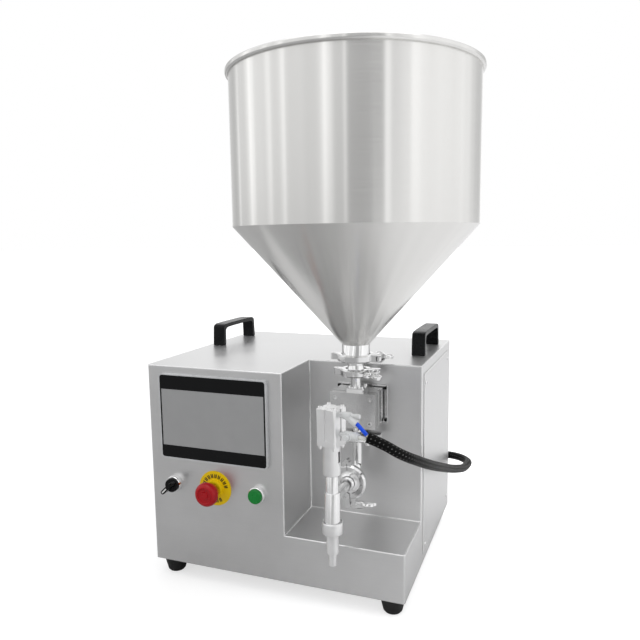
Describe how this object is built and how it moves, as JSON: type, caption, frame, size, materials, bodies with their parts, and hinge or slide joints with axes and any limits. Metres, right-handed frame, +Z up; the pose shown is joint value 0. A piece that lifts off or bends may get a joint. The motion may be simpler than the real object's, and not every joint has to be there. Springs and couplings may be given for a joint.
{
  "type": "piston liquid filler",
  "caption": "Benchtop dosing filler: sheet steel cabinet with a corner bay, cone hopper on clamped pipework, plate valve head, shut-off nozzle and touch screen controls.",
  "frame": {"origin": "centre of the overall footprint, leaving out the hose, at the underside of the feet", "axes": "+X to the right seen from the front, +Y to the back, +Z up; the screen and nozzle face -Y"},
  "size_m": [0.55, 0.5987, 0.8444],
  "materials": {
    "cabinet_steel": "fine brushed sheet",
    "screw_steel": "bright",
    "foot_rubber": "matte",
    "handle_plastic": "fine grain",
    "bezel_grey": "satin",
    "screen_black": "gloss",
    "screen_grey": "satin",
    "estop_yellow": "satin",
    "control_black": "satin",
    "estop_red": "satin",
    "control_chrome": "polished",
    "start_green": "satin",
    "machined_steel": "ground",
    "pipe_steel": "polished",
    "seal_rubber": "matte",
    "clamp_steel": "polished casting",
    "anodised": "clear anodised",
    "nut_steel": "turned",
    "fitting_white": "satin",
    "tube_blue": "gloss",
    "tube_clear": "gloss",
    "sleeve_black": "braided",
    "rear_brass": "nickel plated",
    "hopper_steel": "brushed, rolled",
    "motor_black": "satin",
    "inlet_black": "satin",
    "rocker_red": "gloss",
    "drive_grey": "satin",
    "valve_grey": "cast"
  },
  "bodies": {
    "machine": {"cabinet_shell": "cabinet_steel", "base_plate": "cabinet_steel", "back_panel": "cabinet_steel", "side_covers": "cabinet_steel", "cover_screws": "screw_steel", "rubber_feet": "foot_rubber", "carrying_handles": "handle_plastic", "screen_frame": "bezel_grey", "screen_glass": "screen_black", "screen_display": "screen_grey", "estop_ring": "estop_yellow", "estop_body": "estop_yellow", "selector_body": "control_chrome", "start_body": "control_chrome", "valve_cover": "machined_steel", "valve_body": "machined_steel", "valve_flange": "machined_steel", "valve_screws": "screw_steel", "pipe_stubs": "pipe_steel", "reducer": "pipe_steel", "outlet_elbow": "pipe_steel", "gaskets": "seal_rubber", "pipe_clamps": "clamp_steel", "air_cylinder": "anodised", "nozzle_collar": "anodised", "nozzle_body": "pipe_steel", "nozzle_nut": "nut_steel", "nozzle_tip": "pipe_steel", "flow_valves": "fitting_white", "air_tube_blue": "tube_blue", "air_tube_clear": "tube_clear", "hose_sleeve": "sleeve_black", "rear_fittings": "rear_brass", "hopper_barrel": "hopper_steel", "hopper_cone": "hopper_steel", "hopper_neck": "pipe_steel", "metering_barrel": "machined_steel", "drive_frame": "anodised", "servo_motor": "motor_black", "timing_belt": "sleeve_black", "inlet_spring": "machined_steel", "power_inlet": "inlet_black", "drive_electronics": "drive_grey", "air_valve": "valve_grey"},
    "piston": {"piston": "machined_steel"},
    "screw": {"ball_screw": "machined_steel"},
    "motor_shaft": {"motor_pulley": "anodised"},
    "shutoff": {"shutoff_stem": "machined_steel"},
    "check_ball": {"inlet_ball": "machined_steel"},
    "estop_plunger": {"estop_stem": "control_black"},
    "estop_button": {"estop_head": "estop_red"},
    "selector": {"selector_knob": "control_black"},
    "start_button": {"start_cap": "start_green"},
    "nut_top": {"wing_nut_top": "clamp_steel"},
    "nut_inlet": {"wing_nut_inlet": "clamp_steel"},
    "nut_outlet": {"wing_nut_outlet": "clamp_steel"},
    "nut_nozzle": {"wing_nut_nozzle": "clamp_steel"},
    "knob_upper": {"flow_knob_upper": "fitting_white"},
    "knob_lower": {"flow_knob_lower": "fitting_white"},
    "rocker": {"power_rocker": "rocker_red"}
  },
  "joints": [
    {"name": "piston_stroke", "type": "slide", "parent": "machine", "child": "piston", "axis": [0, 1, 0], "range_m": [0, 0.07]},
    {"name": "screw_spin", "type": "hinge", "parent": "machine", "child": "screw", "pos_m": [0.077, 0.094, 0.31], "axis": [0, -1, 0], "range_deg": [0, 2525]},
    {"name": "motor_spin", "type": "hinge", "parent": "machine", "child": "motor_shaft", "pos_m": [0.077, 0.174, 0.22], "axis": [0, -1, 0], "range_deg": [0, 2525]},
    {"name": "nozzle_shutoff", "type": "slide", "parent": "machine", "child": "shutoff", "axis": [0, 0, 1], "range_m": [0, 0.01]},
    {"name": "inlet_check", "type": "slide", "parent": "machine", "child": "check_ball", "axis": [0, 0, -1], "range_m": [0, 0.003], "stiffness_N_per_m": 200, "springref_m": -0.003, "deforming": ["inlet_spring"]},
    {"name": "estop_push", "type": "slide", "parent": "machine", "child": "estop_plunger", "axis": [0, 1, 0], "range_m": [0, 0.005]},
    {"name": "estop_twist", "type": "hinge", "parent": "estop_plunger", "child": "estop_button", "pos_m": [-0.1465, -0.183, 0.173], "axis": [0, 1, 0], "range_deg": [0, 30], "stiffness_Nm_per_rad": 0.05},
    {"name": "selector_turn", "type": "hinge", "parent": "machine", "child": "selector", "pos_m": [-0.224, -0.176, 0.173], "axis": [0, 1, 0], "range_deg": [0, 90]},
    {"name": "start_push", "type": "slide", "parent": "machine", "child": "start_button", "axis": [0, 1, 0], "range_m": [0, 0.004], "stiffness_N_per_m": 400, "springref_m": -0.001},
    {"name": "wing_nut_top_spin", "type": "hinge", "parent": "machine", "child": "nut_top", "pos_m": [0.116, -0.051, 0.394], "axis": [0, 1, 0], "continuous": true},
    {"name": "wing_nut_inlet_spin", "type": "hinge", "parent": "machine", "child": "nut_inlet", "pos_m": [0.111, -0.085, 0.369], "axis": [0, -1, 0], "continuous": true},
    {"name": "wing_nut_outlet_spin", "type": "hinge", "parent": "machine", "child": "nut_outlet", "pos_m": [0.113, -0.085, 0.261], "axis": [0, -1, 0], "continuous": true},
    {"name": "wing_nut_nozzle_spin", "type": "hinge", "parent": "machine", "child": "nut_nozzle", "pos_m": [0.08102, -0.113, 0.15871], "axis": [0.9945, 0, 0.1045], "continuous": true},
    {"name": "flow_knob_upper_turn", "type": "hinge", "parent": "machine", "child": "knob_upper", "pos_m": [0.12036, -0.20701, 0.3351], "axis": [0.9744, -0.225, 0], "range_deg": [0, 2880]},
    {"name": "flow_knob_lower_turn", "type": "hinge", "parent": "machine", "child": "knob_lower", "pos_m": [0.10499, -0.21578, 0.3042], "axis": [-0.225, -0.9744, 0], "range_deg": [0, 2880]},
    {"name": "power_rock", "type": "hinge", "parent": "machine", "child": "rocker", "pos_m": [-0.176, 0.239, 0.124], "axis": [0, 0, 1], "range_deg": [0, 16]}
  ],
  "couplings": [
    {"joint": "screw_spin", "follows": "piston_stroke", "rad_per_m": 628.32},
    {"joint": "motor_spin", "follows": "piston_stroke", "rad_per_m": 628.32}
  ]
}
